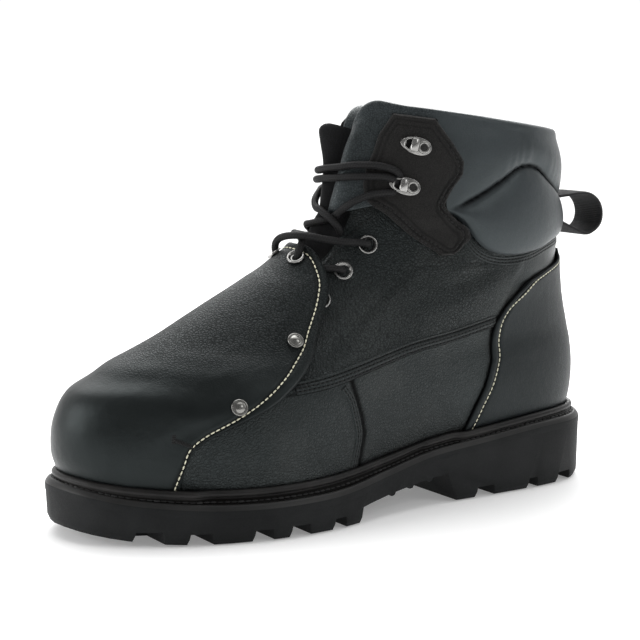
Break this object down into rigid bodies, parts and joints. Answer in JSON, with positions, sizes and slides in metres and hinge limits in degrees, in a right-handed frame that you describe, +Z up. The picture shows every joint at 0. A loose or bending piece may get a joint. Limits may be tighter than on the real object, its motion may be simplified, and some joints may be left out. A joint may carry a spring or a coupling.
{
  "type": "metatarsal guard boot",
  "caption": "Ankle-height black leather work boot for the left foot with a metatarsal guard over the instep, padded collar, speed hooks, pull loop and a lugged sole with a raised heel.",
  "frame": {"origin": "on the floor under the middle of the heel, on the flat face of the heel's tread", "axes": "+Z up, toe towards -Y, heel towards +Y, the wearer's outer side of this left boot towards +X"},
  "size_m": [0.1134, 0.3292, 0.2094],
  "materials": {
    "sole_rubber": "matte black, slightly scuffed",
    "midsole_rubber": "satin black with a stitched groove",
    "welt_leather": "black, edge dressed",
    "upper_leather": "black, pebbled full grain, light wear",
    "guard_leather": "black, smooth and polished at the toe, pebbled over the instep",
    "counter_leather": "black, smooth, satin sheen",
    "collar_leather": "black, soft and padded, satin",
    "stay_nubuck": "black nubuck, matte",
    "tongue_cloth": "black, napped",
    "insole_foam": "dark grey, matte",
    "loop_webbing": "dark grey ribbed webbing",
    "lace_cord": "black round braid",
    "nickel": "polished nickel plate"
  },
  "bodies": {
    "root": {"outsole": "sole_rubber", "midsole": "midsole_rubber", "welt": "welt_leather", "insole": "insole_foam", "upper": "upper_leather", "metatarsal_guard": "guard_leather", "heel_counter": "counter_leather", "collar_pad": "collar_leather", "hook_stay_outer": "stay_nubuck", "hook_stay_inner": "stay_nubuck", "tongue": "tongue_cloth", "pull_loop": "loop_webbing", "eyelet_outer_1": "nickel", "eyelet_inner_1": "nickel", "eyelet_outer_2": "nickel", "eyelet_inner_2": "nickel", "eyelet_outer_3": "nickel", "eyelet_inner_3": "nickel", "guard_eyelet_outer": "nickel", "guard_eyelet_inner": "nickel", "guard_rivet_outer_1": "nickel", "lace_hook_outer_1": "nickel", "guard_rivet_inner_1": "nickel", "lace_hook_inner_1": "nickel", "guard_rivet_outer_2": "nickel", "lace_hook_outer_2": "nickel", "guard_rivet_inner_2": "nickel", "lace_hook_inner_2": "nickel", "lace_strand_upper": "lace_cord", "lace_strand_lower": "lace_cord", "lace_crossing": "lace_cord", "lace_bar": "lace_cord", "lace_guard_tie": "lace_cord"}
  },
  "joints": []
}
